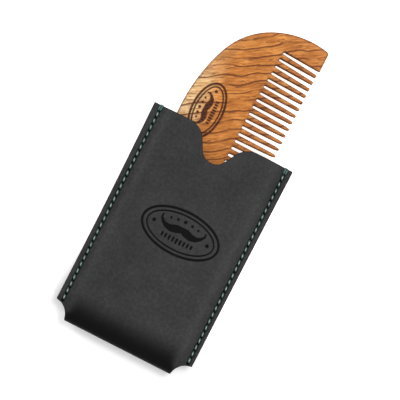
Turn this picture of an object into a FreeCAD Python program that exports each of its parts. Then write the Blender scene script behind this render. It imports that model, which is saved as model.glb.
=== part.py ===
import FreeCAD, Part
import Sketcher
import math
import os

# A half-moon wooden beard comb, half drawn out of its leather sheath.
#
# The sheath is one strip of leather, folded once. The fold is the closed end, the two short edges of
# the strip are the mouth, and each long side is glued and sewn with one thread. Both layers have the
# same thumb notch in the mouth and a half-round cut at each end of the fold.
#
# Frame: the sheath lies flat, +Z up, its mouth towards +Y and the teeth of the comb towards +X.
# The origin is under the middle of the whole object, on the surface that it lies on. Each sub-part
# is drawn about the middle plane of the sheath and lifted to its place by its Placement.

# ---------------------------------------------------------------- sizes, in millimetres and degrees

SIZES = [
    # comb: three tangent arcs from the middle of the spine to the corner of each end tooth
    ("comb_length", 100.1),
    ("comb_width", 47.5),
    ("comb_thickness", 4.5),
    ("tip_thickness", 3.0),
    ("spine_radius", 80.0),
    ("spine_reach", 29.0),
    ("shoulder_radius", 31.7),
    ("end_radius", 40.7),
    ("corner_round", 1.6),
    ("edge_round", 1.3),
    # slots between the teeth, each turned by one step about a far centre
    ("slot_count", 25),
    ("slot_step", 0.331),
    ("fan_radius", 560.0),
    ("slot_depth", 19.4),
    ("slot_root_width", 1.2),
    ("slot_mouth_width", 1.76),
    ("point_start", 2.9),
    ("point_radius", 6.0),
    ("tip_recess", 0.52),
    ("row_width", 77.6),
    # sheath
    ("sheath_width", 67.4),
    ("sheath_depth", 102.7),
    ("side_taper", 0.7),
    ("leather", 1.5),
    ("cavity_height", 5.3),
    ("flat_width", 43.0),
    ("bend_radius", 6.5),
    ("layer_gap", 0.14),
    ("fold_radius", 2.6),
    ("fold_run", 11.0),
    ("cutout_radius", 7.4),
    ("cutout_middle", 33.3),
    ("cutout_beyond", 0.36),
    ("notch_depth", 12.8),
    ("notch_reach", 16.5),
    ("notch_radius", 6.3),
    ("lip_radius", 9.9),
    # seams
    ("seam_middle", 30.4),
    ("stitch_count", 30),
    ("stitch_pitch", 3.175),
    ("first_stitch", 2.85),
    ("thread_width", 0.8),
    ("thread_spread", 0.43),
    ("thread_bend", 0.5),
    ("thread_tail", 0.6),
    ("slack", 0.05),
    ("groove_width", 1.9),
    ("groove_depth", 0.4),
    ("glue_thickness", 0.1),
    ("glue_width", 3.3),
    ("glue_back", 0.8),
    ("glue_front", 0.2),
    # how the two lie together
    ("comb_out", 54.1),
    ("comb_side", 24.4),
]
SIZE = dict(SIZES)

# Places worked out from the sizes above, for the code that draws.
HALF_HEIGHT = SIZE["cavity_height"] / 2 + SIZE["leather"]
SEAM_HALF = SIZE["layer_gap"] / 2 + SIZE["leather"]
MOUTH = (SIZE["sheath_depth"] - SIZE["comb_out"]) / 2
FOLD = MOUTH - SIZE["sheath_depth"]
BEYOND = 5.0
TOUCH = 0.01

# The same places as expressions, for the objects that are bound to the sheet.
E_LIFT = "Sizes.cavity_height / 2 + Sizes.leather"
E_MOUTH = "(Sizes.sheath_depth - Sizes.comb_out) / 2"
E_FOLD_DISTANCE = "(Sizes.sheath_depth + Sizes.comb_out) / 2"

# ---------------------------------------------------------------- drawing helpers

def make_sheet(doc):
    sheet = doc.addObject("Spreadsheet::Sheet", "Sizes")
    for row, (alias, value) in enumerate(SIZES, start=1):
        sheet.set("A%d" % row, alias)
        sheet.set("B%d" % row, str(value))
        sheet.setAlias("B%d" % row, alias)
    doc.recompute()
    return sheet


def origin_item(body, role):
    return [item for item in body.Origin.OriginFeatures if item.Role == role][0]


def new_sketch(body, role, name):
    sketch = body.newObject("Sketcher::SketchObject", name)
    sketch.AttachmentSupport = [(origin_item(body, role), "")]
    sketch.MapMode = "FlatFace"
    return sketch


def line(sketch, start, end):
    first = FreeCAD.Vector(start[0], start[1], 0)
    second = FreeCAD.Vector(end[0], end[1], 0)
    return sketch.addGeometry(Part.LineSegment(first, second), False)


def arc(sketch, centre, radius, start, end):
    """An arc about centre that runs anticlockwise from the point start to the point end."""
    first = math.atan2(start[1] - centre[1], start[0] - centre[0])
    last = math.atan2(end[1] - centre[1], end[0] - centre[0])
    if last < first:
        last += 2 * math.pi
    middle = FreeCAD.Vector(centre[0], centre[1], 0)
    circle = Part.Circle(middle, FreeCAD.Vector(0, 0, 1), radius)
    return sketch.addGeometry(Part.ArcOfCircle(circle, first, last), False)


def size(sketch, name, expression, kind, *references):
    """A dimension of a sketch, named and bound to the sheet."""
    index = sketch.addConstraint(Sketcher.Constraint(kind, *references))
    sketch.renameConstraint(index, name)
    sketch.setExpression("Constraints." + name, expression)


def join(sketch, first, first_end, second, second_end, smooth=False):
    kind = "Tangent" if smooth else "Coincident"
    sketch.addConstraint(Sketcher.Constraint(kind, first, first_end, second, second_end))


def level(sketch, kind, *lines):
    for index in lines:
        sketch.addConstraint(Sketcher.Constraint(kind, index))


def extrude(body, kind, name, sketch, length, both_ways=True):
    """A Pad or a Pocket of a sketch, to both sides of its plane unless said otherwise."""
    feature = body.newObject(kind, name)
    feature.Profile = sketch
    feature.Type = 0
    feature.Length = length
    if both_ways:
        feature.SideType = "Symmetric"
    body.Tip = feature
    return feature


def mirror(body, name, feature, role):
    copy = body.newObject("PartDesign::Mirrored", name)
    copy.Originals = [feature]
    copy.MirrorPlane = (origin_item(body, role), [""])
    body.Tip = copy
    return copy


def edges_where(shape, test):
    return ["Edge%d" % number for number, edge in enumerate(shape.Edges, start=1) if test(edge)]


def make_form(doc, name, role, draw, length, planes):
    """A bar that keeps one section. draw() draws a half or a quarter, mirrored in the given planes."""
    body = doc.addObject("PartDesign::Body", name)
    sketch = new_sketch(body, role, name + "_sketch")
    draw(sketch)
    bar = extrude(body, "PartDesign::Pad", name + "_bar", sketch, length)
    doc.recompute()
    if len(planes) == 1:
        mirror(body, name + "_whole", bar, planes[0])
    else:
        whole = body.newObject("PartDesign::MultiTransform", name + "_whole")
        whole.Originals = [bar]
        steps = []
        for number, plane in enumerate(planes):
            step = body.newObject("PartDesign::Mirrored", "%s_mirror_%d" % (name, number))
            step.MirrorPlane = (origin_item(body, plane), [""])
            steps.append(step)
        whole.Transformations = steps
        body.Tip = whole
    doc.recompute()
    return body


# ---------------------------------------------------------------- comb

def comb_outline(sketch):
    """Half of the outline, from the spine's middle round to the teeth. The tooth tips are at x = 0."""
    spine = -SIZE["comb_width"]
    first_centre = (spine + SIZE["spine_radius"], 0)
    turn = math.asin(SIZE["spine_reach"] / SIZE["spine_radius"])
    first_end = (first_centre[0] - SIZE["spine_radius"] * math.cos(turn), SIZE["spine_reach"])
    second_centre = (first_end[0] + SIZE["shoulder_radius"] * math.cos(turn),
                     first_end[1] - SIZE["shoulder_radius"] * math.sin(turn))
    end_height = SIZE["comb_length"] / 2 - SIZE["end_radius"]
    growth = SIZE["end_radius"] - SIZE["shoulder_radius"]
    turn = math.asin((second_centre[1] - end_height) / growth)
    second_end = (second_centre[0] - SIZE["shoulder_radius"] * math.cos(turn),
                  second_centre[1] + SIZE["shoulder_radius"] * math.sin(turn))
    third_centre = (second_centre[0] + growth * math.cos(turn), end_height)
    rise = math.sqrt(SIZE["end_radius"] ** 2 - third_centre[0] ** 2)
    corner = (0, end_height + rise)

    back = arc(sketch, first_centre, SIZE["spine_radius"], first_end, (spine, 0))
    shoulder = arc(sketch, second_centre, SIZE["shoulder_radius"], second_end, first_end)
    end = arc(sketch, third_centre, SIZE["end_radius"], corner, second_end)
    tips = line(sketch, corner, (0, 0))
    middle = line(sketch, (0, 0), (spine, 0))

    join(sketch, back, 1, shoulder, 2, smooth=True)
    join(sketch, shoulder, 1, end, 2, smooth=True)
    join(sketch, end, 1, tips, 1)
    join(sketch, tips, 2, middle, 1)
    join(sketch, middle, 2, back, 2)
    join(sketch, middle, 1, -1, 1)
    level(sketch, "Vertical", tips)
    level(sketch, "Horizontal", middle)
    sketch.addConstraint(Sketcher.Constraint("PointOnObject", back, 3, -1))
    size(sketch, "width", "Sizes.comb_width", "DistanceX", middle, 2, -1, 1, -spine)
    size(sketch, "back_radius", "Sizes.spine_radius", "Radius", back, SIZE["spine_radius"])
    size(sketch, "turn", "Sizes.shoulder_radius", "Radius", shoulder, SIZE["shoulder_radius"])
    size(sketch, "end_turn", "Sizes.end_radius", "Radius", end, SIZE["end_radius"])
    size(sketch, "reach", "Sizes.spine_reach", "DistanceY", -1, 1, back, 1, SIZE["spine_reach"])
    size(sketch, "end_centre", "Sizes.comb_length / 2 - Sizes.end_radius",
         "DistanceY", -1, 1, end, 3, end_height)


def point_recess(sketch):
    """What sets the points of the thin teeth back behind those of the two wide end teeth."""
    recess = -SIZE["tip_recess"]
    half = SIZE["row_width"] / 2
    corners = [(recess, -half), (BEYOND, -half), (BEYOND, half), (recess, half)]
    ring = [line(sketch, a, b) for a, b in zip(corners, corners[1:] + corners[:1])]
    for one, two in zip(ring, ring[1:] + ring[:1]):
        join(sketch, one, 2, two, 1)
    level(sketch, "Horizontal", ring[0], ring[2])
    level(sketch, "Vertical", ring[1], ring[3])
    size(sketch, "recess", "Sizes.tip_recess", "DistanceX", ring[0], 1, -1, 1, -recess)
    size(sketch, "clear", str(BEYOND), "DistanceX", -1, 1, ring[1], 1, BEYOND)
    size(sketch, "below", "Sizes.row_width / 2", "DistanceY", ring[0], 1, -1, 1, half)
    size(sketch, "above", "Sizes.row_width / 2", "DistanceY", -1, 1, ring[2], 1, half)


def tooth_wedge(sketch):
    """The slice that thins the teeth from their roots to their tips, above the middle plane."""
    root = -SIZE["slot_depth"]
    face = SIZE["comb_thickness"] / 2
    tip = SIZE["tip_thickness"] / 2
    slope = line(sketch, (root, face), (0, tip))
    front = line(sketch, (0, tip), (BEYOND, tip))
    side = line(sketch, (BEYOND, tip), (BEYOND, face + BEYOND))
    top = line(sketch, (BEYOND, face + BEYOND), (root, face + BEYOND))
    back = line(sketch, (root, face + BEYOND), (root, face))
    ring = [slope, front, side, top, back]
    for first, second in zip(ring, ring[1:] + ring[:1]):
        join(sketch, first, 2, second, 1)
    level(sketch, "Horizontal", front, top)
    level(sketch, "Vertical", side, back)
    sketch.addConstraint(Sketcher.Constraint("PointOnObject", front, 1, -2))
    size(sketch, "root", "Sizes.slot_depth", "DistanceX", slope, 1, -1, 1, -root)
    size(sketch, "face", "Sizes.comb_thickness / 2", "DistanceY", -1, 1, slope, 1, face)
    size(sketch, "tip", "Sizes.tip_thickness / 2", "DistanceY", -1, 1, front, 1, tip)
    size(sketch, "clear", str(BEYOND), "DistanceX", -1, 1, side, 1, BEYOND)
    size(sketch, "above", "Sizes.comb_thickness / 2 + %g" % BEYOND,
         "DistanceY", -1, 1, top, 1, face + BEYOND)


def slot_outline(sketch):
    """One slot, drawn about the far centre of the fan: round root, straight sides, flared mouth."""
    radius = SIZE["slot_root_width"] / 2
    half = SIZE["slot_mouth_width"] / 2
    root = -SIZE["fan_radius"] - SIZE["slot_depth"] + radius
    start = -SIZE["fan_radius"] - SIZE["point_start"]
    tip = -SIZE["fan_radius"] - SIZE["tip_recess"]
    away = -SIZE["fan_radius"] + BEYOND
    flare = SIZE["point_radius"]
    reach = SIZE["point_start"] - SIZE["tip_recess"]
    wide = half + flare - math.sqrt(flare ** 2 - reach ** 2)

    bottom = arc(sketch, (root, 0), radius, (root, radius), (root, -radius))
    upper = line(sketch, (root, radius), (start, half))
    lower = line(sketch, (root, -radius), (start, -half))
    upper_point = arc(sketch, (start, half + flare), flare, (start, half), (tip, wide))
    lower_point = arc(sketch, (start, -half - flare), flare, (tip, -wide), (start, -half))
    upper_out = line(sketch, (tip, wide), (away, wide))
    lower_out = line(sketch, (tip, -wide), (away, -wide))
    close = line(sketch, (away, wide), (away, -wide))

    join(sketch, bottom, 1, upper, 1, smooth=True)
    join(sketch, bottom, 2, lower, 1, smooth=True)
    join(sketch, upper, 2, upper_point, 1, smooth=True)
    join(sketch, lower, 2, lower_point, 2, smooth=True)
    join(sketch, upper_point, 2, upper_out, 1)
    join(sketch, lower_point, 1, lower_out, 1)
    join(sketch, upper_out, 2, close, 1)
    join(sketch, lower_out, 2, close, 2)
    level(sketch, "Horizontal", upper_out, lower_out)
    level(sketch, "Vertical", close)
    sketch.addConstraint(Sketcher.Constraint("PointOnObject", bottom, 3, -1))
    sketch.addConstraint(Sketcher.Constraint("Symmetric", upper, 2, lower, 2, -1))
    sketch.addConstraint(Sketcher.Constraint("Symmetric", upper_out, 1, lower_out, 1, -1))
    size(sketch, "root_radius", "Sizes.slot_root_width / 2", "Radius", bottom, radius)
    size(sketch, "root", "Sizes.fan_radius + Sizes.slot_depth - Sizes.slot_root_width / 2",
         "DistanceX", bottom, 3, -1, 1, -root)
    size(sketch, "start", "Sizes.fan_radius + Sizes.point_start",
         "DistanceX", upper, 2, -1, 1, -start)
    size(sketch, "half_mouth", "Sizes.slot_mouth_width / 2", "DistanceY", -1, 1, upper, 2, half)
    size(sketch, "flare", "Sizes.point_radius", "Radius", upper_point, flare)
    size(sketch, "tip", "Sizes.fan_radius + Sizes.tip_recess",
         "DistanceX", upper_out, 1, -1, 1, -tip)
    size(sketch, "away", "Sizes.fan_radius - %g" % BEYOND,
         "DistanceX", close, 1, -1, 1, -away)


def make_comb(doc):
    body = doc.addObject("PartDesign::Body", "comb")
    outline = new_sketch(body, "XY_Plane", "comb_outline")
    comb_outline(outline)
    blank = extrude(body, "PartDesign::Pad", "blank", outline, SIZE["comb_thickness"])
    blank.setExpression("Length", "Sizes.comb_thickness")
    doc.recompute()
    whole = mirror(body, "whole_blank", blank, "XZ_Plane")
    doc.recompute()

    def end_corner(edge):
        middle = edge.CenterOfMass
        upright = edge.BoundBox.ZLength > TOUCH
        return upright and abs(middle.x) < TOUCH and abs(middle.y) > SIZE["row_width"] / 2

    corners = body.newObject("PartDesign::Fillet", "corners")
    corners.Base = (whole, edges_where(whole.Shape, end_corner))
    corners.Radius = SIZE["corner_round"]
    corners.setExpression("Radius", "Sizes.corner_round")
    body.Tip = corners
    doc.recompute()

    def outer_edge(edge):
        return edge.BoundBox.ZLength < TOUCH

    rounds = body.newObject("PartDesign::Fillet", "rounds")
    rounds.Base = (corners, edges_where(corners.Shape, outer_edge))
    rounds.Radius = SIZE["edge_round"]
    rounds.setExpression("Radius", "Sizes.edge_round")
    body.Tip = rounds
    doc.recompute()

    wedge = new_sketch(body, "XZ_Plane", "tooth_wedge")
    tooth_wedge(wedge)
    thinning = extrude(body, "PartDesign::Pocket", "thinning", wedge, 2 * SIZE["comb_length"])
    doc.recompute()
    mirror(body, "thinning_below", thinning, "XY_Plane")
    doc.recompute()
    recess = new_sketch(body, "XY_Plane", "point_recess")
    point_recess(recess)
    extrude(body, "PartDesign::Pocket", "set_back", recess, 2 * SIZE["comb_thickness"])
    doc.recompute()

    slot = new_sketch(body, "XY_Plane", "slot_outline")
    slot.AttachmentOffset.Base = FreeCAD.Vector(SIZE["fan_radius"], 0, 0)
    slot.setExpression("AttachmentOffset.Base.x", "Sizes.fan_radius")
    slot_outline(slot)
    middle_slot = extrude(body, "PartDesign::Pocket", "middle_slot", slot, 2 * SIZE["comb_thickness"])
    doc.recompute()
    each_way = (SIZE["slot_count"] - 1) / 2
    for name, backwards in (("slots_one_way", False), ("slots_other_way", True)):
        fan = body.newObject("PartDesign::PolarPattern", name)
        fan.Originals = [middle_slot]
        fan.Axis = (slot, ["N_Axis"])
        fan.Occurrences = int(each_way) + 1
        fan.setExpression("Occurrences", "(Sizes.slot_count + 1) / 2")
        fan.Angle = SIZE["slot_step"] * each_way
        fan.setExpression("Angle", "Sizes.slot_step * (Sizes.slot_count - 1) / 2")
        fan.Reversed = backwards
        body.Tip = fan
        doc.recompute()
    body.setExpression("Placement.Base.x", "Sizes.comb_side")
    body.setExpression("Placement.Base.y",
                       "(Sizes.sheath_depth + Sizes.comb_out - Sizes.comb_length) / 2")
    body.setExpression("Placement.Base.z", E_LIFT)
    return body


# ---------------------------------------------------------------- sheath leather

def section_quarter(layer):
    """A quarter of the sheath across its width: flat middle, S-bend, thin margin.

    layer is 1 for the outside of the leather and 0 for the hollow inside it."""
    def draw(sketch):
        flat = SIZE["flat_width"] / 2
        height = SIZE["cavity_height"] / 2 + layer * SIZE["leather"]
        margin = SIZE["layer_gap"] / 2 + layer * SIZE["leather"]
        outward = SIZE["bend_radius"] + layer * SIZE["leather"]
        inward = SIZE["bend_radius"] - layer * SIZE["leather"]
        both = outward + inward
        end = flat + math.sqrt(both ** 2 - (both - height + margin) ** 2)
        edge = SIZE["sheath_width"] / 2 + BEYOND
        high = (flat, height - outward)
        low = (end, margin + inward)
        meet = (high[0] + (low[0] - high[0]) * outward / both,
                high[1] + (low[1] - high[1]) * outward / both)

        base = line(sketch, (0, 0), (edge, 0))
        side = line(sketch, (edge, 0), (edge, margin))
        rim = line(sketch, (edge, margin), (end, margin))
        hollow = arc(sketch, low, inward, meet, (end, margin))
        crown = arc(sketch, high, outward, meet, (flat, height))
        top = line(sketch, (flat, height), (0, height))
        middle = line(sketch, (0, height), (0, 0))

        join(sketch, base, 2, side, 1)
        join(sketch, side, 2, rim, 1)
        join(sketch, rim, 2, hollow, 2, smooth=True)
        join(sketch, hollow, 1, crown, 1, smooth=True)
        join(sketch, crown, 2, top, 1, smooth=True)
        join(sketch, top, 2, middle, 1)
        join(sketch, middle, 2, base, 1)
        join(sketch, base, 1, -1, 1)
        level(sketch, "Horizontal", base, rim, top)
        level(sketch, "Vertical", side, middle)
        size(sketch, "edge", "Sizes.sheath_width / 2 + %g" % BEYOND,
             "DistanceX", -1, 1, base, 2, edge)
        size(sketch, "margin", "Sizes.layer_gap / 2 + %d * Sizes.leather" % layer,
             "DistanceY", -1, 1, side, 2, margin)
        size(sketch, "height", "Sizes.cavity_height / 2 + %d * Sizes.leather" % layer,
             "DistanceY", -1, 1, top, 2, height)
        size(sketch, "flat", "Sizes.flat_width / 2", "DistanceX", -1, 1, top, 1, flat)
        size(sketch, "outward", "Sizes.bend_radius + %d * Sizes.leather" % layer,
             "Radius", crown, outward)
        size(sketch, "inward", "Sizes.bend_radius - %d * Sizes.leather" % layer,
             "Radius", hollow, inward)
    return draw


def side_half(layer):
    """Half of the sheath seen from the side: straight from the mouth, then rounded into the fold."""
    def draw(sketch):
        height = SIZE["cavity_height"] / 2 + layer * SIZE["leather"]
        nose = SIZE["fold_radius"] - (1 - layer) * SIZE["leather"]
        end = FOLD + (1 - layer) * SIZE["leather"]
        start = FOLD + SIZE["fold_run"]
        reach = SIZE["fold_run"] - SIZE["fold_radius"]
        sweep = (reach ** 2 + height ** 2 - nose ** 2) / (2 * (height - nose))
        nose_centre = (end + nose, 0)
        sweep_centre = (start, height - sweep)
        grow = sweep / (sweep - nose)
        meet = (sweep_centre[0] + (nose_centre[0] - sweep_centre[0]) * grow,
                sweep_centre[1] - sweep_centre[1] * grow)
        opening = MOUTH + (2 - layer) * BEYOND

        base = line(sketch, (end, 0), (opening, 0))
        front = line(sketch, (opening, 0), (opening, height))
        top = line(sketch, (opening, height), (start, height))
        slope = arc(sketch, sweep_centre, sweep, (start, height), meet)
        tip = arc(sketch, nose_centre, nose, meet, (end, 0))

        join(sketch, base, 2, front, 1)
        join(sketch, front, 2, top, 1)
        join(sketch, top, 2, slope, 1, smooth=True)
        join(sketch, slope, 2, tip, 1, smooth=True)
        join(sketch, tip, 2, base, 1)
        level(sketch, "Horizontal", base, top)
        level(sketch, "Vertical", front)
        sketch.addConstraint(Sketcher.Constraint("PointOnObject", base, 2, -1))
        sketch.addConstraint(Sketcher.Constraint("PointOnObject", tip, 3, -1))
        size(sketch, "nose", "Sizes.fold_radius - %d * Sizes.leather" % (1 - layer),
             "Radius", tip, nose)
        size(sketch, "nose_place", E_FOLD_DISTANCE + " - Sizes.fold_radius",
             "DistanceX", tip, 3, -1, 1, -nose_centre[0])
        size(sketch, "height", "Sizes.cavity_height / 2 + %d * Sizes.leather" % layer,
             "DistanceY", -1, 1, top, 1, height)
        size(sketch, "start", E_FOLD_DISTANCE + " - Sizes.fold_run",
             "DistanceX", top, 2, -1, 1, -start)
        size(sketch, "opening", E_MOUTH + " + %g" % ((2 - layer) * BEYOND),
             "DistanceX", -1, 1, front, 1, opening)
    return draw


def outline_half(sketch):
    """Half of the sheath from above: thumb notch, mouth, tapering side, half-round cut, fold."""
    low, lip = SIZE["notch_radius"], SIZE["lip_radius"]
    low_centre = (0, MOUTH - SIZE["notch_depth"] + low)
    lip_centre = (SIZE["notch_reach"], MOUTH - lip)
    across = lip_centre[0] - low_centre[0]
    down = lip_centre[1] - low_centre[1]
    lean = math.atan2(down, across) - math.acos((low + lip) / math.hypot(across, down))
    low_end = (low_centre[0] + low * math.cos(lean), low_centre[1] + low * math.sin(lean))
    lip_end = (lip_centre[0] - lip * math.cos(lean), lip_centre[1] - lip * math.sin(lean))
    corner = (SIZE["sheath_width"] / 2, MOUTH)
    cut = SIZE["cutout_radius"]
    cut_centre = (SIZE["cutout_middle"], FOLD - SIZE["cutout_beyond"])
    foot = corner[0] - SIZE["side_taper"]
    side_end = (foot, cut_centre[1] + math.sqrt(cut ** 2 - (foot - cut_centre[0]) ** 2))
    cut_end = (cut_centre[0] - cut, cut_centre[1])

    notch = arc(sketch, low_centre, low, (0, low_centre[1] - low), low_end)
    slope = line(sketch, low_end, lip_end)
    shoulder = arc(sketch, lip_centre, lip, (lip_centre[0], MOUTH), lip_end)
    mouth = line(sketch, (lip_centre[0], MOUTH), corner)
    side = line(sketch, corner, side_end)
    cutout = arc(sketch, cut_centre, cut, side_end, cut_end)
    fold = line(sketch, cut_end, (0, cut_centre[1]))
    middle = line(sketch, (0, cut_centre[1]), (0, low_centre[1] - low))

    join(sketch, notch, 2, slope, 1, smooth=True)
    join(sketch, slope, 2, shoulder, 2, smooth=True)
    join(sketch, shoulder, 1, mouth, 1, smooth=True)
    join(sketch, mouth, 2, side, 1)
    join(sketch, side, 2, cutout, 1)
    join(sketch, cutout, 2, fold, 1)
    join(sketch, fold, 2, middle, 1)
    join(sketch, middle, 2, notch, 1)
    level(sketch, "Horizontal", mouth, fold)
    level(sketch, "Vertical", middle)
    sketch.addConstraint(Sketcher.Constraint("PointOnObject", notch, 3, -2))
    sketch.addConstraint(Sketcher.Constraint("PointOnObject", fold, 2, -2))
    size(sketch, "notch_radius", "Sizes.notch_radius", "Radius", notch, low)
    size(sketch, "lip_radius", "Sizes.lip_radius", "Radius", shoulder, lip)
    size(sketch, "notch_depth", E_MOUTH + " - Sizes.notch_depth",
         "DistanceY", -1, 1, notch, 1, low_centre[1] - low)
    size(sketch, "notch_reach", "Sizes.notch_reach", "DistanceX", -1, 1, shoulder, 3, lip_centre[0])
    size(sketch, "mouth", E_MOUTH, "DistanceY", -1, 1, mouth, 2, MOUTH)
    size(sketch, "half_width", "Sizes.sheath_width / 2", "DistanceX", -1, 1, mouth, 2, corner[0])
    size(sketch, "foot", "Sizes.sheath_width / 2 - Sizes.side_taper",
         "DistanceX", -1, 1, side, 2, foot)
    size(sketch, "cutout", "Sizes.cutout_radius", "Radius", cutout, cut)
    size(sketch, "cutout_middle", "Sizes.cutout_middle", "DistanceX", -1, 1, cutout, 3, cut_centre[0])
    size(sketch, "cutout_level", E_FOLD_DISTANCE + " + Sizes.cutout_beyond",
         "DistanceY", cutout, 3, -1, 1, -cut_centre[1])
    size(sketch, "fold_level", E_FOLD_DISTANCE + " + Sizes.cutout_beyond",
         "DistanceY", fold, 2, -1, 1, -cut_centre[1])


def make_seam_tool(doc):
    """What the awl and the groover take out of the leather along the left seam."""
    body = doc.addObject("PartDesign::Body", "seam_tool")
    half = SIZE["thread_spread"]
    radius = SIZE["thread_width"] / 2 + SIZE["slack"]
    first = MOUTH - SIZE["first_stitch"]

    hole = new_sketch(body, "XY_Plane", "awl_hole")
    right = arc(hole, (half, first), radius, (half, first - radius), (half, first + radius))
    left = arc(hole, (-half, first), radius, (-half, first + radius), (-half, first - radius))
    upper = line(hole, (half, first + radius), (-half, first + radius))
    lower = line(hole, (-half, first - radius), (half, first - radius))
    join(hole, right, 2, upper, 1, smooth=True)
    join(hole, upper, 2, left, 1, smooth=True)
    join(hole, left, 2, lower, 1, smooth=True)
    join(hole, lower, 2, right, 1, smooth=True)
    level(hole, "Horizontal", upper)
    size(hole, "radius", "Sizes.thread_width / 2 + Sizes.slack", "Radius", right, radius)
    size(hole, "right", "Sizes.thread_spread", "DistanceX", -1, 1, right, 3, half)
    size(hole, "left", "Sizes.thread_spread", "DistanceX", left, 3, -1, 1, half)
    size(hole, "first", E_MOUTH + " - Sizes.first_stitch", "DistanceY", -1, 1, right, 3, first)
    awl = extrude(body, "PartDesign::Pad", "awl", hole, 2 * HALF_HEIGHT)
    doc.recompute()

    depth = SEAM_HALF - SIZE["groove_depth"]
    end = first - SIZE["stitch_pitch"] * (SIZE["stitch_count"] - 1) - SIZE["groove_width"] / 2
    wide = SIZE["groove_width"] / 2
    track = new_sketch(body, "XY_Plane", "groove")
    track.AttachmentOffset.Base = FreeCAD.Vector(0, 0, depth)
    track.setExpression("AttachmentOffset.Base.z",
                        "Sizes.layer_gap / 2 + Sizes.leather - Sizes.groove_depth")
    corners = [(-wide, end), (wide, end), (wide, MOUTH + BEYOND), (-wide, MOUTH + BEYOND)]
    ring = [line(track, a, b) for a, b in zip(corners, corners[1:] + corners[:1])]
    for one, two in zip(ring, ring[1:] + ring[:1]):
        join(track, one, 2, two, 1)
    level(track, "Horizontal", ring[0], ring[2])
    level(track, "Vertical", ring[1], ring[3])
    size(track, "left", "Sizes.groove_width / 2", "DistanceX", ring[0], 1, -1, 1, wide)
    size(track, "right", "Sizes.groove_width / 2", "DistanceX", -1, 1, ring[0], 2, wide)
    size(track, "start", E_MOUTH + " + %g" % BEYOND, "DistanceY", -1, 1, ring[2], 1, MOUTH + BEYOND)
    size(track, "end", "Sizes.first_stitch + Sizes.stitch_pitch * (Sizes.stitch_count - 1)"
         " + Sizes.groove_width / 2 - " + E_MOUTH, "DistanceY", ring[0], 1, -1, 1, -end)
    groove = extrude(body, "PartDesign::Pad", "front_groove", track, BEYOND, both_ways=False)
    doc.recompute()
    mirror(body, "back_groove", groove, "XY_Plane")
    doc.recompute()

    row = body.newObject("PartDesign::LinearPattern", "awl_row")
    row.Originals = [awl]
    row.Direction = (origin_item(body, "Y_Axis"), [""])
    row.Reversed = True
    row.Length = SIZE["stitch_pitch"] * (SIZE["stitch_count"] - 1)
    row.setExpression("Length", "Sizes.stitch_pitch * (Sizes.stitch_count - 1)")
    row.Occurrences = SIZE["stitch_count"]
    row.setExpression("Occurrences", "Sizes.stitch_count")
    body.Tip = row
    body.setExpression("Placement.Base.x", "-Sizes.seam_middle")
    doc.recompute()
    return body


def boolean(doc, kind, name, first, second):
    result = doc.addObject(kind, name)
    result.Base = first
    result.Tool = second
    return result


def make_sheath(doc, left_tool, right_tool):
    both = ["YZ_Plane", "XY_Plane"]
    long = 4 * SIZE["sheath_depth"]
    outside = [
        make_form(doc, "outer_section", "XZ_Plane", section_quarter(1), long, both),
        make_form(doc, "outer_side", "YZ_Plane", side_half(1), long, ["XY_Plane"]),
        make_form(doc, "outline", "XY_Plane", outline_half, long, ["YZ_Plane"]),
    ]
    block = doc.addObject("Part::MultiCommon", "sheath_block")
    block.Shapes = outside
    hollow = boolean(
        doc, "Part::Common", "hollow",
        make_form(doc, "inner_section", "XZ_Plane", section_quarter(0), long, both),
        make_form(doc, "inner_side", "YZ_Plane", side_half(0), long, ["XY_Plane"]))
    strip = boolean(doc, "Part::Cut", "folded_strip", block, hollow)
    half_sewn = boolean(doc, "Part::Cut", "left_sewn", strip, left_tool)
    leather = boolean(doc, "Part::Cut", "sheath_leather", half_sewn, right_tool)
    leather.setExpression("Placement.Base.z", E_LIFT)
    return leather


def make_glue(doc, side, tool):
    """The film of contact cement between the two layers of one margin, pierced by the stitches."""
    film = doc.addObject("Part::Box", side + "_film")
    film.setExpression("Length", "Sizes.glue_width")
    film.setExpression("Width", "Sizes.sheath_depth - Sizes.cutout_radius"
                                " - Sizes.glue_back - Sizes.glue_front")
    film.setExpression("Height", "Sizes.glue_thickness")
    inner = "Sizes.seam_middle - Sizes.groove_width / 2"
    if side == "left":
        film.setExpression("Placement.Base.x", "-(%s) - Sizes.glue_width" % inner)
    else:
        film.setExpression("Placement.Base.x", inner)
    film.setExpression("Placement.Base.y",
                       "-(%s) + Sizes.cutout_radius + Sizes.glue_back" % E_FOLD_DISTANCE)
    film.setExpression("Placement.Base.z", "-Sizes.glue_thickness / 2")
    glue = boolean(doc, "Part::Cut", "seam_glue_" + side, film, tool)
    glue.setExpression("Placement.Base.z", E_LIFT)
    return glue


# ---------------------------------------------------------------- sewing thread

def thread_route(first_down):
    """The corners of one of the two strands of a saddle-stitched seam.

    Both strands start with a loop over the mouth and then pass through every hole, one going down
    where the other comes up. A strand goes down at the +X end of a hole and comes up at its -X end,
    so every stitch slants the same way."""
    spread = SIZE["thread_spread"]
    height = SEAM_HALF - SIZE["groove_depth"] + SIZE["slack"] + SIZE["thread_width"] / 2
    over = MOUTH + SIZE["slack"] + SIZE["thread_width"] / 2
    first = MOUTH - SIZE["first_stitch"]
    tail = first + SIZE["thread_tail"]
    going_down = first_down
    x = spread if going_down else -spread
    z = -height if going_down else height
    route = [(x, tail, z), (x, over, z), (x, over, -z)]
    last = SIZE["stitch_count"] - 1
    for number in range(SIZE["stitch_count"]):
        y = first - number * SIZE["stitch_pitch"]
        x = spread if going_down else -spread
        z = height if going_down else -height
        route.append((x, y, z))
        route.append((x, y, -z if number < last else z / 2))
        going_down = not going_down
    return [FreeCAD.Vector(*point) for point in route]


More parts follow.
